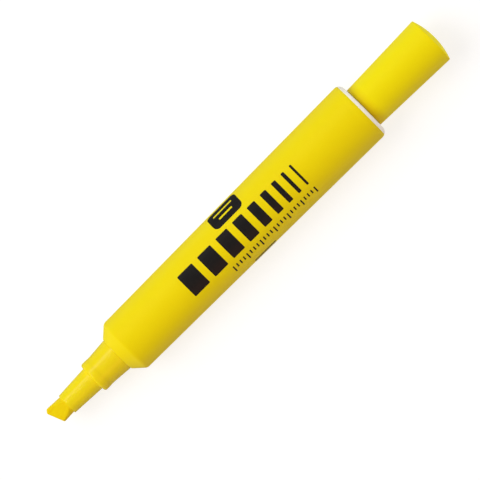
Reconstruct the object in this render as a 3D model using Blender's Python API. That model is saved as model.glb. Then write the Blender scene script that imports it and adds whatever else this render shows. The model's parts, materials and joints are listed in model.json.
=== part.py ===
"""Desk highlighter, uncapped, with its cap posted on the rear plug. Metres, +Z up.

The marker lies on its side on the surface z = 0, with the nib towards -X and the cap towards +X.
The barrel tapers, so its axis slopes gently down to the nib. The origin is under the middle of the object.
Stations are distances along the axis from the tip of the nib.
"""

from math import asin, atan2, cos, pi, radians, sin, sqrt, tan

import bmesh
import bpy
from mathutils import Matrix, Vector

MM = 0.001

# Outside dimensions, from the tip of the nib to the end of the posted cap
NIB_REACH = 5.7 * MM  # nib that stands out of the nose
NOSE_LENGTH = 10.1 * MM
NECK_LENGTH = 9.5 * MM
SHOULDER_LENGTH = 4.2 * MM
BODY_LENGTH = 90.65 * MM  # shoulder to the rear edge of the barrel
FLANGE_THICKNESS = 1.15 * MM
CAP_LENGTH = 27.6 * MM

NOSE_FRONT_R = 3.24 * MM
NOSE_REAR_R = 3.76 * MM
NECK_FRONT_R = 4.82 * MM
NECK_REAR_R = 5.29 * MM
NECK_BEAD_R = 4.92 * MM
BARREL_FRONT_R = 8.6 * MM
BARREL_REAR_R = 9.5 * MM
REAR_ROUND = 2.0 * MM  # rounding of the rear corner, which the barrel and the plug's flange share
CAP_MOUTH_R = 6.62 * MM
CAP_END_R = 7.42 * MM

# Walls, fits and hidden pieces
FIT = 0.1 * MM  # gap left between pieces that touch
BARREL_WALL = 1.25 * MM
NIB_R = 2.8 * MM
NIB_LENGTH = 37.0 * MM
CORE_R = 6.2 * MM
CORE_LENGTH = 77.5 * MM
WRAP_THICKNESS = 0.2 * MM
HOLDER_SKIRT_LENGTH = 7.0 * MM
HOLDER_SKIRT_R = 7.15 * MM
PLUG_SKIRT_LENGTH = 10.0 * MM
PLUG_WALL = 1.1 * MM
POST_LENGTH = 8.75 * MM
LINER_WALL = 0.9 * MM
BREATHER_R = 0.8 * MM
BREATHER_BORE_R = 0.45 * MM

# Every turned piece is a prism with this many sides, set around its true circle, with one side down
SIDES = 32
ARC_STEPS = 3
SIDE_SCALE = 1 / cos(pi / SIDES)

# Stations
NOSE_FRONT = NIB_REACH
NECK_FRONT = NOSE_FRONT + NOSE_LENGTH
NECK_ROOT = NECK_FRONT + NECK_LENGTH
BARREL_FRONT = NECK_ROOT + SHOULDER_LENGTH
BARREL_REAR = BARREL_FRONT + BODY_LENGTH
FLANGE_REAR = BARREL_REAR + FIT + FLANGE_THICKNESS
CAP_MOUTH = FLANGE_REAR + FIT
CAP_END = CAP_MOUTH + CAP_LENGTH
MOUTH_INNER = NECK_ROOT + 2.1 * MM  # inner face of the wall around the barrel's front hole
CORE_FRONT = BARREL_FRONT + 1.5 * MM
CORE_REAR = CORE_FRONT + CORE_LENGTH
SKIRT_REAR = BARREL_FRONT + HOLDER_SKIRT_LENGTH
PLUG_FRONT = BARREL_REAR - PLUG_SKIRT_LENGTH

# The marker's attitude: the lowest side of the tapered barrel lies flat on the surface
SHOULDER_EDGE = BARREL_FRONT - 0.9 * MM  # where the shoulder's cone and the barrel's taper meet
ROUND_START = FLANGE_REAR - REAR_ROUND  # where the taper ends and the rounded rear corner begins
SLOPE = atan2(BARREL_REAR_R - BARREL_FRONT_R, ROUND_START - SHOULDER_EDGE)
TIP_X = -CAP_END * cos(SLOPE) / 2
TIP_Z = BARREL_REAR_R * cos(SLOPE) - ROUND_START * sin(SLOPE)  # height of the axis at station 0

YELLOW = (0.86, 0.68, 0.01)
MATERIALS = {
    "yellow_plastic": (YELLOW, 0.45),
    "gloss_yellow_plastic": ((0.88, 0.72, 0.02), 0.22),
    "white_plastic": ((0.86, 0.86, 0.88), 0.4),
    "inked_felt": ((0.85, 0.62, 0.01), 0.85),
    "inked_fibre": ((0.80, 0.78, 0.05), 0.9),
    "clear_film": ((0.85, 0.85, 0.82), 0.2),
    "clear_tube": ((0.80, 0.80, 0.78), 0.3),
    "soft_liner": ((0.88, 0.87, 0.82), 0.5),
}


def clear_scene():
    for obj in list(bpy.data.objects):
        bpy.data.objects.remove(obj)


def make_material(name):
    colour, roughness = MATERIALS[name]
    material = bpy.data.materials.new(name)
    material.use_nodes = True
    shader = material.node_tree.nodes["Principled BSDF"]
    shader.inputs["Base Color"].default_value = (*colour, 1)
    shader.inputs["Roughness"].default_value = roughness
    shader.inputs["Metallic"].default_value = 0
    return material


def place(name, mesh, material=None):
    """Links a mesh that is modelled around the X axis from station 0, and puts it in its place."""
    obj = bpy.data.objects.new(name, mesh)
    bpy.context.scene.collection.objects.link(obj)
    obj.location = (TIP_X, 0, TIP_Z)
    obj.rotation_euler.y = -SLOPE
    if material:
        mesh.materials.append(make_material(material))
        mesh.shade_smooth()
        mesh.set_sharp_from_angle(angle=radians(35))
    return obj


def filleted(corners):
    """The closed outline through (station, radius, fillet) corners, with an arc at each fillet."""
    points = []
    for i, (station, radius, fillet) in enumerate(corners):
        corner = Vector((station, radius))
        if not fillet:
            points.append(corner)
            continue
        before = (Vector(corners[i - 1][:2]) - corner).normalized()
        after = (Vector(corners[(i + 1) % len(corners)][:2]) - corner).normalized()
        half = before.angle(after) / 2
        centre = corner + (before + after).normalized() * (fillet / sin(half))
        start = corner + before * (fillet / tan(half)) - centre
        end = corner + after * (fillet / tan(half)) - centre
        sweep = atan2(start.x * end.y - start.y * end.x, start.dot(end))
        for step in range(ARC_STEPS + 1):
            points.append(centre + Matrix.Rotation(sweep * step / ARC_STEPS, 2) @ start)
    return points


def turned_mesh(name, corners):
    """The solid that a closed outline of (station, radius, fillet) corners sweeps around the X axis."""
    bm = bmesh.new()
    ring = [bm.verts.new((p.x, 0, max(p.y, 0) * SIDE_SCALE)) for p in filleted(corners)]
    edges = [bm.edges.new((a, b)) for a, b in zip(ring, ring[1:] + ring[:1])]
    half_side = Matrix.Rotation(pi / SIDES, 3, "X")
    bmesh.ops.rotate(bm, verts=ring, matrix=half_side)
    bmesh.ops.spin(
        bm, geom=ring + edges, axis=(1, 0, 0), cent=(0, 0, 0), angle=2 * pi, steps=SIDES, use_merge=True
    )
    bmesh.ops.remove_doubles(bm, verts=bm.verts, dist=1e-7)
    bmesh.ops.dissolve_degenerate(bm, edges=bm.edges, dist=1e-7)
    bmesh.ops.recalc_face_normals(bm, faces=bm.faces)
    mesh = bpy.data.meshes.new(name)
    bm.to_mesh(mesh)
    bm.free()
    return mesh


def turned(name, corners, material):
    return place(name, turned_mesh(name, corners), material)


def block(name, low, high, turn=0.0):
    """A box between two corners (station, y, z), turned about the axis, as a hidden helper for a Boolean."""
    bm = bmesh.new()
    bmesh.ops.create_cube(bm, size=1)
    low, high = Vector(low), Vector(high)
    bmesh.ops.scale(bm, vec=high - low, verts=bm.verts)
    bmesh.ops.translate(bm, vec=(low + high) / 2, verts=bm.verts)
    bmesh.ops.rotate(bm, verts=bm.verts, matrix=Matrix.Rotation(turn, 3, "X"))
    mesh = bpy.data.meshes.new(name)
    bm.to_mesh(mesh)
    bm.free()
    return as_helper(place(name, mesh))


def as_helper(obj):
    obj.hide_render = True
    obj.display_type = "WIRE"
    return obj


def boolean(obj, helper, operation):
    modifier = obj.modifiers.new(helper.name, "BOOLEAN")
    modifier.object = helper
    modifier.operation = operation
    modifier.solver = "EXACT"


def barrel_inner_r(station):
    """Inside radius of the tapered barrel."""
    front, rear = BARREL_FRONT_R - BARREL_WALL, BARREL_REAR_R - BARREL_WALL
    return front + (rear - front) * (station - BARREL_FRONT) / BODY_LENGTH


def rear_round(first, last, steps):
    """Outline points along the rounded rear corner, from one station to another."""
    start = asin((first - ROUND_START) / REAR_ROUND)
    end = asin(min((last - ROUND_START) / REAR_ROUND, 1.0))
    points = []
    for step in range(steps + 1):
        angle = start + (end - start) * step / steps
        radius = BARREL_REAR_R - REAR_ROUND * (1 - cos(angle))
        points.append((ROUND_START + REAR_ROUND * sin(angle), radius, 0))
    return points


def bore_r(depth):
    """Radius of the cap's tapered bore at a depth from its mouth. It follows the neck."""
    return NECK_REAR_R + FIT + (NECK_FRONT_R - NECK_REAR_R) * depth / NECK_LENGTH


def dome_drop(r, sphere_r):
    """How far a shallow dome of the given sphere radius falls below its crown at radius r."""
    return sphere_r - sqrt(sphere_r**2 - r**2)


def make_barrel():
    """The printed outer shell: shoulder, tapered body and six inner ribs that centre the reservoir."""
    hole = NECK_REAR_R + FIT
    cone_front = MOUTH_INNER, hole + 0.7 * MM, 0
    cone_rear = BARREL_FRONT - 0.8 * MM, barrel_inner_r(BARREL_FRONT), 0.8 * MM
    barrel = turned(
        "barrel",
        [
            (NECK_ROOT, hole, 0),
            (NECK_ROOT + 0.1 * MM, hole + 0.3 * MM, 0),
            (SHOULDER_EDGE, BARREL_FRONT_R, 1.6 * MM),
            *rear_round(ROUND_START, BARREL_REAR, 2),
            (BARREL_REAR, barrel_inner_r(BARREL_REAR), 0),
            cone_rear,
            cone_front,
            (MOUTH_INNER, hole, 0),
        ],
        "yellow_plastic",
    )
    rib_inner = CORE_R + FIT + WRAP_THICKNESS + FIT
    rib_front = SKIRT_REAR + 1.5 * MM
    rib_rear = PLUG_FRONT - 2.0 * MM
    rib_count = 6
    bite = 0.4 * MM  # depth of each rib's root in the wall
    for i in range(rib_count):
        rib = block(
            f"barrel_rib_{i + 1}",
            (rib_front, -0.5 * MM, rib_inner),
            (rib_rear, 0.5 * MM, barrel_inner_r(rib_front) + bite),
            turn=2 * pi * i / rib_count,
        )
        for vertex in rib.data.vertices:
            along = (vertex.co.x - rib_front) / (rib_rear - rib_front)
            outer = sqrt(vertex.co.y**2 + vertex.co.z**2) > rib_inner + bite
            if outer:
                growth = (barrel_inner_r(rib_rear) - barrel_inner_r(rib_front)) * along
                vertex.co += Matrix.Rotation(2 * pi * i / rib_count, 3, "X") @ Vector((0, 0, growth))
        boolean(barrel, rib, "UNION")


def make_nib_holder():
    """The nose and neck, with the flange that stops it in the shoulder and the skirt around the reservoir."""
    nib_bore = NIB_R + FIT
    chamber_r = 4.0 * MM
    chamber_front = NECK_ROOT + 0.7 * MM
    stop = CORE_FRONT - FIT
    flange_front = MOUTH_INNER + FIT
    skirt_inner = CORE_R + 2 * FIT + WRAP_THICKNESS
    holder = turned(
        "nib_holder",
        [
            (NOSE_FRONT, nib_bore, 0),
            (NOSE_FRONT, NOSE_FRONT_R, 0.15 * MM),
            (NECK_FRONT, NOSE_REAR_R, 0.15 * MM),
            (NECK_FRONT, NECK_BEAD_R, 0.75 * MM),
            (NECK_FRONT + 2.2 * MM, NECK_BEAD_R, 0.8 * MM),
            (NECK_FRONT + 2.8 * MM, NECK_FRONT_R, 0.5 * MM),
            (NECK_ROOT - 0.6 * MM, NECK_REAR_R, 0),
            (flange_front, NECK_REAR_R, 0),
            (flange_front, NECK_REAR_R + 0.7 * MM, 0),
            (BARREL_FRONT - 0.6 * MM, HOLDER_SKIRT_R, 0.6 * MM),
            (SKIRT_REAR, HOLDER_SKIRT_R, 0),
            (SKIRT_REAR, skirt_inner, 0),
            (stop, skirt_inner, 0),
            (stop, chamber_r, 0),
            (chamber_front, chamber_r, 0),
            (chamber_front - 1.1 * MM, nib_bore, 0),
        ],
        "gloss_yellow_plastic",
    )
    vent_count = 4
    vent_depth = 0.25 * MM
    for i in range(vent_count):
        vent = block(
            f"nib_vent_{i + 1}",
            (NECK_FRONT - 4.0 * MM, -0.4 * MM, nib_bore - 0.5 * MM),
            (chamber_front + 1.0 * MM, 0.4 * MM, nib_bore + vent_depth),
            turn=pi / vent_count + 2 * pi * i / vent_count,
        )
        boolean(holder, vent, "DIFFERENCE")


def make_nib():
    """A felt rod: wedge-cut and slanted at the writing end, pointed at the end that enters the reservoir."""
    edge_r = 3.05 * MM  # the felt spreads a little towards its writing edge
    edge_half = 0.8 * MM  # half the thickness of the writing edge
    slant = tan(radians(22))
    edge_middle = 0.7 * MM  # station of the writing edge on the axis
    worn_corner = Vector((0.15 * MM, 2.4 * MM, 0))  # where wear has cut the leading corner back
    root = NOSE_FRONT + 0.2 * MM
    mesh = turned_mesh(
        "nib",
        [
            (-2.0 * MM, 0, 0),
            (-2.0 * MM, edge_r, 0),
            (edge_middle, edge_r, 0),
            (root, NIB_R, 0),
            (NIB_LENGTH - 4.5 * MM, NIB_R, 0),
            (NIB_LENGTH, 0.7 * MM, 0),
            (NIB_LENGTH, 0, 0),
        ],
    )
    wedge = atan2(NIB_R - edge_half, root - edge_middle)
    bm = bmesh.new()
    bm.from_mesh(mesh)
    writing_edge = Vector((edge_middle, 0, 0))
    cuts = [(writing_edge, Vector((-1, -slant, 0))), (worn_corner, Vector((-0.76, 0.65, 0)))]
    for side in (1, -1):
        on_flat = writing_edge + Vector((0, 0, side * edge_half))
        cuts.append((on_flat, Vector((-sin(wedge), 0, side * cos(wedge)))))
    for point, outward in cuts:
        cut = bmesh.ops.bisect_plane(
            bm, geom=[*bm.verts, *bm.edges, *bm.faces], plane_co=point, plane_no=outward, clear_outer=True
        )
        rim = [e for e in cut["geom_cut"] if isinstance(e, bmesh.types.BMEdge)]
        bmesh.ops.contextual_create(bm, geom=rim)
    bmesh.ops.recalc_face_normals(bm, faces=bm.faces)
    bm.to_mesh(mesh)
    bm.free()
    place("nib", mesh, "inked_felt")


def make_reservoir():
    """The ink-holding fibre core, its film wrap, and the breather tube that lies in a groove of the core."""
    recess_r = NIB_R + 0.15 * MM
    core = turned(
        "ink_reservoir",
        [
            (CORE_FRONT, recess_r, 0),
            (CORE_FRONT, CORE_R, 0.3 * MM),
            (CORE_REAR, CORE_R, 0.3 * MM),
            (CORE_REAR, 0, 0),
            (NIB_LENGTH + 0.2 * MM, 0, 0),
            (NIB_LENGTH + 0.2 * MM, 0.9 * MM, 0),
            (NIB_LENGTH - 4.4 * MM, recess_r, 0),
        ],
        "inked_fibre",
    )
    wrap_inner = CORE_R + FIT
    turned(
        "reservoir_wrap",
        [
            (CORE_FRONT + 0.4 * MM, wrap_inner, 0),
            (CORE_FRONT + 0.4 * MM, wrap_inner + WRAP_THICKNESS, 0),
            (CORE_REAR + 0.3 * MM, wrap_inner + WRAP_THICKNESS, 0),
            (CORE_REAR + 0.3 * MM, wrap_inner, 0),
        ],
        "clear_film",
    )
    tube_height = CORE_R - BREATHER_R - FIT
    tube = turned(
        "breather_tube",
        [
            (CORE_FRONT + 0.2 * MM, BREATHER_BORE_R, 0),
            (CORE_FRONT + 0.2 * MM, BREATHER_R, 0),
            (CORE_REAR + 0.2 * MM, BREATHER_R, 0),
            (CORE_REAR + 0.2 * MM, BREATHER_BORE_R, 0),
        ],
        "clear_tube",
    )
    tube.location += tube.rotation_euler.to_matrix() @ Vector((0, 0, tube_height))
    groove = block(
        "breather_groove",
        (CORE_FRONT - 1 * MM, -BREATHER_R - FIT, tube_height - BREATHER_R - FIT),
        (CORE_REAR + 1 * MM, BREATHER_R + FIT, CORE_R + 1 * MM),
    )
    boolean(core, groove, "DIFFERENCE")


def make_end_plug():
    """The white plug: flange, skirt in the barrel, crossed ribs behind the reservoir, and the cap post."""
    skirt_outer_front = barrel_inner_r(PLUG_FRONT) - FIT
    skirt_outer_rear = barrel_inner_r(BARREL_REAR) - FIT
    post_inner = NECK_FRONT_R - PLUG_WALL
    floor = BARREL_REAR - 0.3 * MM
    post_end = FLANGE_REAR + POST_LENGTH
    plug = turned(
        "end_plug",
        [
            (PLUG_FRONT, skirt_outer_front - PLUG_WALL, 0),
            (PLUG_FRONT, skirt_outer_front, 0.3 * MM),
            (BARREL_REAR + FIT, skirt_outer_rear, 0),
            *rear_round(BARREL_REAR + FIT, FLANGE_REAR, 4),
            (FLANGE_REAR, bore_r(0) - FIT, 0),
            (post_end, bore_r(POST_LENGTH) - FIT, 0.8 * MM),
            (post_end, 0, 0),
            (post_end - PLUG_WALL, 0, 0),
            (post_end - PLUG_WALL, post_inner, 0.4 * MM),
            (floor, post_inner, 0),
            (floor, skirt_outer_rear - PLUG_WALL, 0.4 * MM),
        ],
        "white_plastic",
    )
    reach = skirt_outer_front - PLUG_WALL + 0.4 * MM
    for name, turn in (("plug_rib_upright", 0), ("plug_rib_level", pi / 2)):
        rib = block(
            name,
            (CORE_REAR + 0.5 * MM, -0.5 * MM, -reach + 1.2 * MM),
            (floor + 0.5 * MM, 0.5 * MM, reach - 1.2 * MM),
            turn,
        )
        boolean(plug, rib, "UNION")
        root = block(
            name + "_root",
            (PLUG_FRONT + 1.0 * MM, -0.5 * MM, -reach),
            (floor + 0.5 * MM, 0.5 * MM, reach),
            turn,
        )
        boolean(plug, root, "UNION")


def make_cap():
    """The flared cap with its slightly domed end, and the soft liner that seals around the nose."""
    dome_r = 22.0 * MM
    dome_rim_r = 6.7 * MM
    dome_steps = 5
    dome = []
    for step in range(dome_steps + 1):
        r = dome_rim_r * (1 - step / dome_steps)
        dome.append((CAP_END - dome_drop(r, dome_r), r, 0))
    pocket_front = CAP_MOUTH + NECK_LENGTH + FIT
    pocket_r = bore_r(NECK_LENGTH)
    floor = CAP_END - 1.3 * MM
    turned(
        "cap",
        [
            (CAP_MOUTH, bore_r(0), 0.2 * MM),
            (CAP_MOUTH, CAP_MOUTH_R, 0.25 * MM),
            (CAP_END - dome_drop(CAP_END_R, dome_r), CAP_END_R, 0.35 * MM),
            *dome,
            (floor, 0, 0),
            (floor, pocket_r, 0.3 * MM),
            (pocket_front, pocket_r, 0),
        ],
        "yellow_plastic",
    )
    turned(
        "cap_liner",
        [
            (pocket_front + FIT, pocket_r - FIT - LINER_WALL, 0.25 * MM),
            (pocket_front + FIT, pocket_r - FIT, 0),
            (floor - FIT - 0.3 * MM, pocket_r - FIT, 0),
            (floor - FIT - 0.3 * MM, pocket_r - FIT - LINER_WALL, 0),
        ],
        "soft_liner",
    )


clear_scene()
make_barrel()
make_nib_holder()
make_nib()
make_reservoir()
make_end_plug()
make_cap()
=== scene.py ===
"""Looks of the desk highlighter: finished meshes, materials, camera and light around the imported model.

Lengths are metres, or millimetres times MM. Visible pieces are modelled in the marker's own frame:
x is the station along its axis, counted from the tip of the nib, and z points up from the surface.
"""

import json
from math import asin, atan2, cos, pi, radians, sin, sqrt, tan

import bmesh
import bpy
from mathutils import Matrix, Vector


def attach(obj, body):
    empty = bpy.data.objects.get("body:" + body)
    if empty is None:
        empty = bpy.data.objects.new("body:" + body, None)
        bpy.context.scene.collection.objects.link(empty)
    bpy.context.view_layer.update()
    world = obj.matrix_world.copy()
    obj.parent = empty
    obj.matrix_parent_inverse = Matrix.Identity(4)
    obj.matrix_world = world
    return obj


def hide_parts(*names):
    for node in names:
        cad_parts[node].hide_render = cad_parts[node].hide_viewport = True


MM = 0.001
ROUND = 192  # sides of a turned piece
ARC_STEPS = 8

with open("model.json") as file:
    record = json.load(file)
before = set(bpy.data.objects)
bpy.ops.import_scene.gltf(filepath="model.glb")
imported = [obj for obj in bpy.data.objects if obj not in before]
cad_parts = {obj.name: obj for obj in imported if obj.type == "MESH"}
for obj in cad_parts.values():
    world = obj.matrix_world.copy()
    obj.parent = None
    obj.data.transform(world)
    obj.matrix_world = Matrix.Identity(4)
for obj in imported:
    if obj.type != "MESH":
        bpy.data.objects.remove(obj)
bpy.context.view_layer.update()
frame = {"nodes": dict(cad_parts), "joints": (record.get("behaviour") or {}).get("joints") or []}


# The marker's frame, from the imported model


NIB_REACH = 5.7 * MM  # how far the nib stands out of the nose


def marker_matrix():
    """Matrix of station 0, the tip of the nib: its X axis is the marker's, which the cap slides along."""
    along = Vector(frame["joints"][0]["axis"]).normalized()
    across = Vector((0, 1, 0))
    up = along.cross(across)
    turn = Matrix((along, across, up)).transposed()
    to_axis = turn.transposed()
    barrel = [to_axis @ v.co for v in frame["nodes"]["barrel"].data.vertices]
    nose = [to_axis @ v.co for v in frame["nodes"]["nib_holder"].data.vertices]
    height = (min(p.z for p in barrel) + max(p.z for p in barrel)) / 2
    tip = min(p.x for p in nose) - NIB_REACH
    return Matrix.Translation(turn @ Vector((tip, 0, height))) @ turn.to_4x4()


MARKER = marker_matrix()


def node_points(node):
    """A CAD node's vertices in the marker's frame."""
    back = MARKER.inverted()
    return [back @ v.co for v in frame["nodes"][node].data.vertices]


def span(node):
    """First and last station of a CAD node."""
    stations = [p.x for p in node_points(node)]
    return min(stations), max(stations)


NOSE_FRONT = span("nib_holder")[0]
NECK_ROOT, BARREL_REAR = span("barrel")
POST_REAR = span("end_plug")[1]
CAP_MOUTH, CAP_END = span("cap")
LINER_FRONT, LINER_REAR = span("cap_liner")

# Driving dimensions of the shape: the CAD's own, apart from SEAM and SHELL_REAR
NECK_FRONT = NOSE_FRONT + 10.1 * MM
BARREL_FRONT = NECK_ROOT + 4.2 * MM
SHOULDER_EDGE = BARREL_FRONT - 0.9 * MM
FIT = 0.1 * MM
SEAM = 0.02 * MM  # gap that shows between the barrel and the plug pressed into it
FLANGE_REAR = BARREL_REAR + 1.25 * MM
SHELL_REAR = BARREL_REAR + 0.2 * MM  # the visible shell covers a little of the CAD's flange
REAR_ROUND = 2.0 * MM  # rounding of the rear corner, which the barrel and the flange share
ROUND_START = FLANGE_REAR - REAR_ROUND
NECK_LENGTH = NECK_ROOT - NECK_FRONT
LIP_REAR = NECK_ROOT + 2.1 * MM  # back of the lip that holds the neck in the barrel
LIP_DEPTH = 0.7 * MM  # how far the neck's flange reaches behind that lip

NOSE_FRONT_R = 3.24 * MM
NOSE_REAR_R = 3.76 * MM
NECK_FRONT_R = 4.82 * MM
NECK_REAR_R = 5.29 * MM
NECK_BEAD_R = 4.92 * MM
BARREL_FRONT_R = 8.6 * MM
BARREL_REAR_R = 9.5 * MM
BARREL_WALL = 1.25 * MM
LINER_WALL = 0.9 * MM
CAP_MOUTH_R = 6.62 * MM
CAP_END_R = 7.42 * MM
NIB_R = 2.8 * MM


def barrel_r(station):
    """Outside radius of the tapered barrel."""
    share = (station - SHOULDER_EDGE) / (ROUND_START - SHOULDER_EDGE)
    return BARREL_FRONT_R + (BARREL_REAR_R - BARREL_FRONT_R) * share


def rear_round(first, last, steps=12):
    """Outline points along the rounded rear corner, from one station to another."""
    start = asin((first - ROUND_START) / REAR_ROUND)
    end = asin(min((last - ROUND_START) / REAR_ROUND, 1.0))
    points = []
    for step in range(steps + 1):
        angle = start + (end - start) * step / steps
        radius = BARREL_REAR_R - REAR_ROUND * (1 - cos(angle))
        points.append((ROUND_START + REAR_ROUND * sin(angle), radius, 0))
    return points


def bore_r(depth):
    """Radius of the cap's bore at a depth from its mouth, which follows the neck's taper."""
    return NECK_REAR_R + FIT + (NECK_FRONT_R - NECK_REAR_R) * depth / NECK_LENGTH


# Mesh helpers


def place(name, mesh, body, *materials):
    """A piece modelled in the marker's frame, put in its place and riding on a body."""
    obj = bpy.data.objects.new(name, mesh)
    bpy.context.scene.collection.objects.link(obj)
    obj.matrix_world = MARKER
    for material in materials:
        mesh.materials.append(material)
    mesh.shade_smooth()
    mesh.set_sharp_from_angle(angle=radians(40))
    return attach(obj, body)


def filleted(corners):
    """The outline through (station, radius, fillet) corners, with an arc at each fillet."""
    points = []
    for i, (station, radius, fillet) in enumerate(corners):
        corner = Vector((station, radius))
        if not fillet:
            points.append(corner)
            continue
        before = (Vector(corners[i - 1][:2]) - corner).normalized()
        after = (Vector(corners[(i + 1) % len(corners)][:2]) - corner).normalized()
        half = before.angle(after) / 2
        centre = corner + (before + after).normalized() * (fillet / sin(half))
        start = corner + before * (fillet / tan(half)) - centre
        end = corner + after * (fillet / tan(half)) - centre
        sweep = atan2(start.x * end.y - start.y * end.x, start.dot(end))
        for step in range(ARC_STEPS + 1):
            points.append(centre + Matrix.Rotation(sweep * step / ARC_STEPS, 2) @ start)
    return points


def turned_bmesh(corners):
    """The closed solid that an outline sweeps around the axis."""
    bm = bmesh.new()
    ring = [bm.verts.new((p.x, 0, max(p.y, 0))) for p in filleted(corners)]
    edges = [bm.edges.new((a, b)) for a, b in zip(ring, ring[1:] + ring[:1])]
    bmesh.ops.spin(
        bm, geom=ring + edges, axis=(1, 0, 0), cent=(0, 0, 0), angle=2 * pi, steps=ROUND, use_merge=True
    )
    bmesh.ops.remove_doubles(bm, verts=bm.verts, dist=1e-8)
    bmesh.ops.dissolve_degenerate(bm, edges=bm.edges, dist=1e-8)
    bmesh.ops.recalc_face_normals(bm, faces=bm.faces)
    return bm


def to_mesh(bm, name):
    mesh = bpy.data.meshes.new(name)
    bm.to_mesh(mesh)
    bm.free()
    return mesh


def turned(name, corners, body, *materials):
    return place(name, to_mesh(turned_bmesh(corners), name), body, *materials)


# Materials


class Nodes:
    """A small builder for one material's node tree."""

    def __init__(self, name):
        self.material = bpy.data.materials.new(name)
        self.material.use_nodes = True
        self.tree = self.material.node_tree
        self.shader = self.tree.nodes["Principled BSDF"]

    def feed(self, socket, value):
        """Link an input to another node's output, or set it to a fixed value."""
        if isinstance(value, bpy.types.NodeSocket):
            self.tree.links.new(value, socket)
        else:
            socket.default_value = value

    def add(self, kind, **settings):
        """A node, whose settings are its properties, or its inputs where a name has a capital letter."""
        node = self.tree.nodes.new(kind)
        for key, value in settings.items():
            if key[0].isupper():
                self.feed(node.inputs[key.replace("_", " ")], value)
            else:
                setattr(node, key, value)
        return node

    def multiply(self, a, b):
        node = self.add("ShaderNodeMath", operation="MULTIPLY")
        self.feed(node.inputs[0], a)
        self.feed(node.inputs[1], b)
        return node.outputs[0]

    def place(self, scale=(1, 1, 1)):
        """Object coordinates, stretched by a scale."""
        coordinates = self.add("ShaderNodeTexCoord").outputs["Object"]
        return self.add("ShaderNodeMapping", Vector=coordinates, Scale=scale).outputs[0]

    def noise(self, scale, detail=4, roughness=0.5, stretch=(1, 1, 1)):
        """Noise with a feature size of about 1 / scale metres, squeezed where stretch is above 1."""
        return self.add(
            "ShaderNodeTexNoise", Vector=self.place(stretch), Scale=scale, Detail=detail, Roughness=roughness
        ).outputs["Fac"]

    def between(self, value, low, high):
        """A value from 0 to 1 mapped onto low to high."""
        return self.add("ShaderNodeMapRange", Value=value, To_Min=low, To_Max=high).outputs[0]

    def blend(self, factor, a, b):
        """Colour a, going over to b as the factor goes to 1."""
        node = self.add("ShaderNodeMix", data_type="RGBA")
        for index, value in ((0, factor), (6, a), (7, b)):  # the sockets of a colour mix
            self.feed(node.inputs[index], value)
        return node.outputs[2]

    def bump(self, height, distance):
        node = self.add("ShaderNodeBump", Height=height, Distance=distance, Strength=1.0)
        self.link(node.outputs[0], "Normal")

    def link(self, value, socket):
        self.tree.links.new(value, self.shader.inputs[socket])

    def set(self, **values):
        for key, value in values.items():
            self.shader.inputs[key.replace("_", " ")].default_value = value


def moulded_plastic(name, colour, deep, roughness, texture_depth, gloss, translucency=0.0, painted_mouth_shade=None):
    """Moulded polypropylene: a slightly uneven colour and gloss, and a fine mould texture.

    The last argument, a station and a length, paints shade: over that length the colour deepens towards that
    station, standing in for the shadow that a neighbouring part casts there.
    """
    nodes = Nodes(name)
    cloudy = nodes.noise(60, detail=3)
    shade = nodes.blend(nodes.between(cloudy, 0.0, 0.5), (*colour, 1), (*deep, 1))
    # painted shade: the colour deepens towards the given station, in place of a neighbouring part's shadow
    if painted_mouth_shade:
        start, length = painted_mouth_shade
        red, green, blue = colour
        station = nodes.add("ShaderNodeSeparateXYZ", Vector=nodes.place()).outputs[0]
        mouth_shade_mask = nodes.add(
            "ShaderNodeMapRange", Value=station, From_Min=start, From_Max=start + length, To_Min=1, To_Max=0
        ).outputs[0]
        shade = nodes.blend(mouth_shade_mask, shade, (red * 0.84, green * 0.72, blue, 1))
    nodes.link(shade, "Base Color")
    wear = nodes.noise(220, detail=5, roughness=0.6)
    nodes.link(nodes.between(wear, roughness - 0.05, roughness + 0.06), "Roughness")
    grain = nodes.noise(2600, detail=3, roughness=0.6)
    nodes.bump(grain, texture_depth)
    nodes.set(Specular_IOR_Level=gloss)
    if translucency:
        nodes.set(Subsurface_Weight=translucency, Subsurface_Scale=0.002, Subsurface_Radius=(1.0, 0.7, 0.1))
    return nodes.material


def felt(name, colour, deep):
    """Bonded fibre: strands along the axis, darker between them, wet enough to shine a little."""
    nodes = Nodes(name)
    strands = nodes.noise(2400, detail=4, roughness=0.6, stretch=(0.12, 1, 1))
    patches = nodes.noise(420, detail=3)
    shade = nodes.multiply(strands, nodes.between(patches, 0.2, 1.1))
    nodes.link(nodes.blend(shade, (*colour, 1), (*deep, 1)), "Base Color")
    nodes.link(nodes.between(strands, 0.5, 0.75), "Roughness")
    nodes.bump(strands, 0.05 * MM)
    nodes.set(Specular_IOR_Level=0.15)
    return nodes.material


def fibre_bundle(name):
    nodes = Nodes(name)
    strands = nodes.noise(3000, detail=5, roughness=0.7, stretch=(0.05, 1, 1))
    nodes.link(nodes.blend(strands, (0.9, 0.86, 0.1, 1), (0.7, 0.62, 0.02, 1)), "Base Color")
    nodes.bump(strands, 0.1 * MM)
    nodes.set(Roughness=0.85)
    return nodes.material


def clear_film(name, alpha, colour):
    nodes = Nodes(name)
    ripple = nodes.noise(300, detail=2, stretch=(0.3, 1, 1))
    nodes.link(nodes.between(ripple, 0.12, 0.28), "Roughness")
    nodes.bump(ripple, 0.05 * MM)
    nodes.set(Base_Color=(*colour, 1), Alpha=alpha)
    return nodes.material


def print_ink(name):
    """Pad-printed black ink: slightly uneven gloss and pinholes that are too fine to count."""
    nodes = Nodes(name)
    mottle = nodes.noise(900, detail=5, roughness=0.7)
    nodes.link(nodes.blend(mottle, (0.006, 0.006, 0.008, 1), (0.016, 0.015, 0.012, 1)), "Base Color")
    nodes.link(nodes.between(mottle, 0.34, 0.55), "Roughness")
    nodes.bump(mottle, 0.01 * MM)
    nodes.set(Specular_IOR_Level=0.2)
    return nodes.material


SATIN_TEXTURE = 0.012 * MM
GLOSS_TEXTURE = 0.002 * MM
WHITE_TEXTURE = 0.004 * MM

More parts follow.
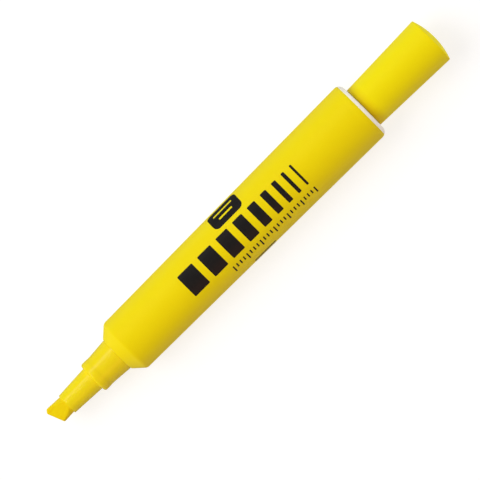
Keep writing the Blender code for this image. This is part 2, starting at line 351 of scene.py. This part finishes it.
SATIN_YELLOW = moulded_plastic(
    "satin_yellow",
    (0.83, 0.68, 0.002),
    (0.81, 0.65, 0.002),
    0.48,
    SATIN_TEXTURE,
    gloss=0.15,
    translucency=0.1,
)
CAP_YELLOW = moulded_plastic(
    "cap_yellow",
    (0.86, 0.74, 0.002),
    (0.84, 0.71, 0.002),
    0.5,
    SATIN_TEXTURE,
    gloss=0.15,
    translucency=0.1,
    # painted shade at the cap's mouth, where the white flange shades the cap
    painted_mouth_shade=(CAP_MOUTH, 3.2 * MM),
)
GLOSS_YELLOW = moulded_plastic(
    "gloss_yellow",
    (0.87, 0.71, 0.002),
    (0.85, 0.68, 0.002),
    0.22,
    GLOSS_TEXTURE,
    gloss=0.5,
    translucency=0.1,
)
WHITE = moulded_plastic(
    "white_plastic", (0.95, 0.93, 0.86), (0.93, 0.9, 0.83), 0.38, WHITE_TEXTURE, gloss=0.4
)
LINER = moulded_plastic(
    "liner_plastic", (0.86, 0.85, 0.78), (0.8, 0.79, 0.7), 0.45, WHITE_TEXTURE, gloss=0.4
)
FELT = felt("inked_felt", (0.83, 0.69, 0.002), (0.74, 0.45, 0.001))
INK = print_ink("black_print")


# Visible pieces


def make_barrel():
    hole = NECK_REAR_R + FIT
    inner_front = BARREL_FRONT_R - BARREL_WALL
    inner_rear = BARREL_REAR_R - BARREL_WALL
    barrel = turned(
        "barrel_shell",
        [
            (NECK_ROOT, hole, 0),
            (NECK_ROOT + 0.1 * MM, hole + 0.3 * MM, 0.08 * MM),
            (SHOULDER_EDGE, BARREL_FRONT_R, 1.6 * MM),
            *rear_round(ROUND_START, SHELL_REAR),
            (SHELL_REAR, inner_rear, 0.1 * MM),
            (BARREL_FRONT - 0.8 * MM, inner_front, 0.8 * MM),
            (LIP_REAR, hole + LIP_DEPTH, 0),
            (LIP_REAR, hole, 0),
        ],
        "marker",
        SATIN_YELLOW,
    )
    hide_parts("barrel")


def make_nib_holder():
    """The nose and neck, the flange behind the barrel's lip, and the hollow skirt inside the barrel."""
    nib_bore = NIB_R + FIT
    flange_front = LIP_REAR + FIT
    bead_fillet = 8.0 * MM
    skirt_r = 7.15 * MM
    skirt_inner_r = 6.6 * MM
    skirt_rear = BARREL_FRONT + 7.0 * MM
    chamber_r = 4.0 * MM
    chamber_rear = BARREL_FRONT + 1.4 * MM
    holder = turned(
        "nose_and_neck",
        [
            (NOSE_FRONT, nib_bore, 0.05 * MM),
            (NOSE_FRONT, NOSE_FRONT_R, 0.15 * MM),
            (NECK_FRONT, NOSE_REAR_R, 0.15 * MM),
            (NECK_FRONT, NECK_BEAD_R, 0.75 * MM),
            (NECK_FRONT + 2.0 * MM, NECK_BEAD_R, bead_fillet),
            (NECK_FRONT + 3.0 * MM, NECK_FRONT_R, bead_fillet),
            (NECK_ROOT - 0.6 * MM, NECK_REAR_R, 0),
            (flange_front, NECK_REAR_R, 0),
            (flange_front, NECK_REAR_R + LIP_DEPTH, 0),
            (BARREL_FRONT - 0.6 * MM, skirt_r, 0.6 * MM),
            (skirt_rear, skirt_r, 0),
            (skirt_rear, skirt_inner_r, 0),
            (chamber_rear, skirt_inner_r, 0),
            (chamber_rear, chamber_r, 0),
            (NECK_ROOT + 0.7 * MM, chamber_r, 0),
            (NECK_ROOT - 0.4 * MM, nib_bore, 0),
        ],
        "marker",
        GLOSS_YELLOW,
    )
    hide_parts("nib_holder")


def make_nib():
    """The felt rod, cut to a slanted wedge with a worn corner, and its edges softened."""
    edge_r = 3.05 * MM
    edge_half = 0.8 * MM
    slant = tan(radians(22))
    edge_middle = 0.7 * MM
    blank_front = -2.0 * MM  # the uncut rod reaches past the writing edge
    root = NOSE_FRONT + 0.2 * MM
    rear = span("nib")[1]
    point_length = 4.5 * MM
    point_r = 0.7 * MM
    bm = turned_bmesh(
        [
            (blank_front, 0, 0),
            (blank_front, edge_r, 0),
            (edge_middle, edge_r, 0),
            (root, NIB_R, 0),
            (rear - point_length, NIB_R, 0),
            (rear, point_r, 0),
            (rear, 0, 0),
        ]
    )
    wedge = atan2(NIB_R - edge_half, root - edge_middle)
    writing_edge = Vector((edge_middle, 0, 0))
    worn_corner = Vector((0.15 * MM, 2.4 * MM, 0))
    cuts = [(writing_edge, Vector((-1, -slant, 0))), (worn_corner, Vector((-0.76, 0.65, 0)))]
    for side in (1, -1):
        on_flat = writing_edge + Vector((0, 0, side * edge_half))
        cuts.append((on_flat, Vector((-sin(wedge), 0, side * cos(wedge)))))
    for point, outward in cuts:
        cut = bmesh.ops.bisect_plane(
            bm, geom=[*bm.verts, *bm.edges, *bm.faces], plane_co=point, plane_no=outward, clear_outer=True
        )
        rim = [e for e in cut["geom_cut"] if isinstance(e, bmesh.types.BMEdge)]
        bmesh.ops.contextual_create(bm, geom=rim)
    bmesh.ops.recalc_face_normals(bm, faces=bm.faces)
    nib = place("felt_nib", to_mesh(bm, "felt_nib"), "marker", FELT)
    fine = nib.modifiers.new("fine", "REMESH")
    fine.mode = "VOXEL"
    fine.voxel_size = 0.13 * MM
    fine.use_smooth_shade = True
    soften = nib.modifiers.new("soften", "SMOOTH")
    soften.factor = 0.5
    soften.iterations = 30
    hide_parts("nib")


def make_end_plug():
    """The white plug: a skirt inside the barrel, the flange that shows, and the post for the cap."""
    plug_front = BARREL_REAR - 10.0 * MM
    wall = 1.1 * MM
    inner_front = barrel_r(plug_front) - BARREL_WALL - FIT
    inner_rear = BARREL_REAR_R - BARREL_WALL - FIT
    post_length = POST_REAR - FLANGE_REAR
    post_inner = NECK_FRONT_R - wall
    floor = BARREL_REAR - 0.3 * MM
    plug = turned(
        "white_end_plug",
        [
            (plug_front, inner_front - wall, 0),
            (plug_front, inner_front, 0.3 * MM),
            (SHELL_REAR + SEAM, inner_rear, 0),
            *rear_round(SHELL_REAR + SEAM, FLANGE_REAR),
            (FLANGE_REAR, bore_r(0) - FIT, 0),
            (POST_REAR, bore_r(post_length) - FIT, 0.8 * MM),
            (POST_REAR, 0, 0),
            (POST_REAR - wall, 0, 0),
            (POST_REAR - wall, post_inner, 0.4 * MM),
            (floor, post_inner, 0),
            (floor, inner_rear - wall, 0.4 * MM),
        ],
        "marker",
        WHITE,
    )
    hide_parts("end_plug")


def dome_drop(r, sphere_r):
    """How far a shallow dome of the given sphere radius falls below its crown at radius r."""
    return sphere_r - sqrt(sphere_r**2 - r**2)


def make_cap():
    """The flared cap with its shallow domed end, and the seal at the bottom of its bore."""
    dome_r = 22.0 * MM
    dome_rim_r = 6.9 * MM
    dome_steps = 16
    dome = []
    for step in range(dome_steps + 1):
        r = dome_rim_r * (1 - step / dome_steps)
        dome.append((CAP_END - dome_drop(r, dome_r), r, 0))
    pocket_front = LINER_FRONT - FIT
    pocket_r = bore_r(NECK_LENGTH)
    floor = CAP_END - 1.3 * MM
    cap = turned(
        "flared_cap",
        [
            (CAP_MOUTH, bore_r(0), 0.2 * MM),
            (CAP_MOUTH, CAP_MOUTH_R, 0.25 * MM),
            (CAP_END - dome_drop(CAP_END_R, dome_r), CAP_END_R, 0.35 * MM),
            *dome,
            (floor, 0, 0),
            (floor, pocket_r, 0.3 * MM),
            (pocket_front, pocket_r, 0),
        ],
        "cap",
        CAP_YELLOW,
    )
    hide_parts("cap")
    liner_r = pocket_r - FIT
    liner_inner = liner_r - LINER_WALL
    liner = turned(
        "inner_seal",
        [
            (LINER_FRONT, liner_inner, 0.25 * MM),
            (LINER_FRONT, liner_r, 0.1 * MM),
            (LINER_REAR, liner_r, 0),
            (LINER_REAR, liner_inner, 0),
        ],
        "cap",
        LINER,
    )
    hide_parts("cap_liner")


# Print: plain graphics in black ink, laid out flat and wrapped around the barrel


INK_PROUD = 0.015 * MM
INK_ROOT = 0.03 * MM
STRIP = 0.3 * MM  # width of the strips that a print is cut into before it is bent round


def rounded_rectangle(u, v, width, height, corner, steps=6):
    """Outline of a rectangle centred at (u, v): u runs along the barrel, v around it."""
    points = []
    for i, (su, sv) in enumerate(((1, 1), (-1, 1), (-1, -1), (1, -1))):
        centre_u = u + su * (width / 2 - corner)
        centre_v = v + sv * (height / 2 - corner)
        for step in range(steps + 1):
            angle = pi / 2 * (i + step / steps)
            points.append((centre_u + corner * cos(angle), centre_v + corner * sin(angle)))
    return points


def wrapped_print(name, outlines, station, angle):
    """One black graphic: flat outlines, holes included, bent around the barrel at a station and an angle.

    The angle is counted from the top towards -Y, and v = 0 lies on it.
    """
    curve = bpy.data.curves.new(name, "CURVE")
    curve.dimensions = "2D"
    curve.fill_mode = "BOTH"
    for outline in outlines:
        spline = curve.splines.new("POLY")
        spline.points.add(len(outline) - 1)
        for point, (u, v) in zip(spline.points, outline):
            point.co = (u, v, 0, 1)
        spline.use_cyclic_u = True
    flat = bpy.data.objects.new(name, curve)
    bm = bmesh.new()
    bm.from_mesh(bpy.data.meshes.new_from_object(flat))
    bpy.data.objects.remove(flat)
    bpy.data.curves.remove(curve)
    bmesh.ops.remove_doubles(bm, verts=bm.verts, dist=1e-7)
    low = min(v.co.y for v in bm.verts)
    high = max(v.co.y for v in bm.verts)
    for i in range(1, int((high - low) / STRIP) + 1):
        cut_at = Vector((0, low + i * STRIP, 0))
        geometry = [*bm.verts, *bm.edges, *bm.faces]
        bmesh.ops.bisect_plane(bm, geom=geometry, plane_co=cut_at, plane_no=(0, 1, 0))
    bmesh.ops.recalc_face_normals(bm, faces=bm.faces)
    if sum(f.normal.z for f in bm.faces) < 0:
        bmesh.ops.reverse_faces(bm, faces=bm.faces)
    top = list(bm.faces)
    under = bmesh.ops.extrude_face_region(bm, geom=top, use_keep_orig=True)
    sunk = {v for v in under["geom"] if isinstance(v, bmesh.types.BMVert)}
    for vertex in bm.verts:
        at = station + vertex.co.x
        radius = barrel_r(at)
        turn = angle + vertex.co.y / radius
        lifted = radius - INK_ROOT if vertex in sunk else radius + INK_PROUD
        vertex.co = Vector((at, -lifted * sin(turn), lifted * cos(turn)))
    bmesh.ops.recalc_face_normals(bm, faces=bm.faces)
    obj = place(name, to_mesh(bm, name), "marker", INK)
    return obj


def make_prints():
    """Bars from broad to fine, a badge with two plain lines in it, a row of ticks, and three short lines."""
    middle = 74.1 * MM
    corner = 0.3 * MM

    bars = []
    widths = [5.6 * MM, 5.0 * MM, 4.3 * MM, 3.6 * MM, 2.9 * MM, 2.2 * MM, 1.6 * MM, 1.1 * MM, 0.7 * MM]
    row_length = 44.0 * MM
    bar_height = 7.6 * MM
    gap = (row_length - sum(widths)) / (len(widths) - 1)
    start = -row_length / 2
    for width in widths:
        bars.append(rounded_rectangle(start + width / 2, 0, width, bar_height, corner))
        start += width + gap
    wrapped_print("print_bars", bars, middle, radians(3))

    badge = [
        rounded_rectangle(0, 0, 10.6 * MM, 7.0 * MM, 1.6 * MM),
        rounded_rectangle(0, -1.1 * MM, 7.0 * MM, 0.7 * MM, corner),
        rounded_rectangle(0, 1.1 * MM, 5.0 * MM, 0.7 * MM, corner),
    ]
    wrapped_print("print_badge", badge, middle, radians(-52))

    ticks = []
    tick_pitch = 1.3 * MM
    tick_width = 0.42 * MM
    for i in range(-12, 13):
        tall = 2.4 * MM if i % 4 == 0 else 1.5 * MM
        ticks.append(rounded_rectangle(i * tick_pitch, tall / 2, tick_width, tall, 0.1 * MM))
    wrapped_print("print_ticks", ticks, 80.7 * MM, radians(38))

    line_pitch = 1.6 * MM
    lines = [rounded_rectangle(0, i * line_pitch, 8.0 * MM, 0.7 * MM, corner) for i in (-1, 0, 1)]
    wrapped_print("print_lines", lines, 74.5 * MM, radians(84))


def finish_inner_nodes():
    """The sealed pieces keep their CAD shapes and get materials of their own."""
    inner = {
        "ink_reservoir": fibre_bundle("inked_fibre"),
        "reservoir_wrap": clear_film("wrap_film", 0.35, (0.85, 0.85, 0.82)),
        "breather_tube": clear_film("breather_plastic", 0.6, (0.8, 0.8, 0.78)),
    }
    for node, material in inner.items():
        for slot in frame["nodes"][node].material_slots:
            slot.material = material


# Stage


def make_floor():
    """A plain white floor, with a little light of its own so that shadows on it stay faint."""
    bpy.ops.mesh.primitive_plane_add(size=6)
    floor = bpy.context.object
    floor.name = "pale_floor"
    nodes = Nodes("pale_floor")
    nodes.set(Base_Color=(0.3, 0.3, 0.3, 1), Roughness=0.8, Specular_IOR_Level=0.1)
    nodes.set(Emission_Color=(1, 1, 1, 1), Emission_Strength=0.755)
    floor.data.materials.append(nodes.material)
    floor.visible_glossy = False  # its reflection would whiten the plastic's edges


def softbox(name, direction, size, irradiance, colour=(1, 1, 1)):
    """A softbox that faces the marker from a direction, bright enough to light it by an irradiance."""
    distance = 1.5
    light = bpy.data.lights.new(name, "AREA")
    light.shape = "RECTANGLE"
    light.size, light.size_y = size
    light.energy = irradiance * pi**2 * distance**2
    light.color = colour
    obj = bpy.data.objects.new(name, light)
    bpy.context.scene.collection.objects.link(obj)
    towards = Vector(direction).normalized()
    obj.location = towards * distance
    obj.rotation_euler = towards.to_track_quat("Z", "Y").to_euler()
    return obj


def make_lights():
    """Pale surroundings, a large light above the nib's end, and weaker lights around the marker."""
    world = bpy.data.worlds.new("studio")
    bpy.context.scene.world = world
    world.use_nodes = True
    background = world.node_tree.nodes["Background"]
    background.inputs["Color"].default_value = (1, 1, 1, 1)
    background.inputs["Strength"].default_value = 0.2
    main = softbox("main_softbox", (-0.5, 0.31, 0.81), (1.0, 0.9), 0.745)
    main.visible_glossy = False  # only the strip shows in the gloss, as one line along the neck
    strip_tilt = radians(46)
    softbox("strip_softbox", (-0.1, sin(strip_tilt), cos(strip_tilt)), (1.8, 0.5), 0.18)
    warm_tilt = radians(-40)
    softbox("warm_card", (0, sin(warm_tilt), cos(warm_tilt)), (1.0, 0.6), 0.14, (1.0, 0.24, 0.05))
    softbox("front_card", (-0.95, 0.3, 0.15), (0.8, 0.4), 0.05)
    rear = softbox("rear_card", (0.97, 0.0, 0.25), (0.8, 0.6), 0.37)
    rear.visible_glossy = False  # seen from the nib's end, it would veil the whole barrel


def make_camera():
    """Square above the marker, turned so that the marker points to the picture's upper right."""
    distance = 1.6
    view_width = 132.5 * MM
    lean = radians(0.8)
    aim = MARKER @ Vector((71.55 * MM, -1.7 * MM, 0))
    data = bpy.data.cameras.new("camera")
    data.sensor_width = 36
    data.lens = data.sensor_width * distance / view_width
    data.clip_start = 0.01
    data.clip_end = 20
    camera = bpy.data.objects.new("camera", data)
    bpy.context.scene.collection.objects.link(camera)
    backward = MARKER.to_3x3() @ Vector((sin(lean), 0, cos(lean)))
    upper_right = Vector((1, 1, 0))
    picture_up = (upper_right - backward * backward.dot(upper_right)).normalized()
    picture_right = picture_up.cross(backward)
    turn = Matrix((picture_right, picture_up, backward)).transposed()
    camera.matrix_world = Matrix.Translation(aim + backward * distance) @ turn.to_4x4()
    bpy.context.scene.camera = camera


make_barrel()
make_nib_holder()
make_nib()
make_end_plug()
make_cap()
make_prints()
finish_inner_nodes()
make_floor()
make_lights()
make_camera()
bpy.context.scene.view_settings.view_transform = "Standard"

bpy.context.view_layer.update()
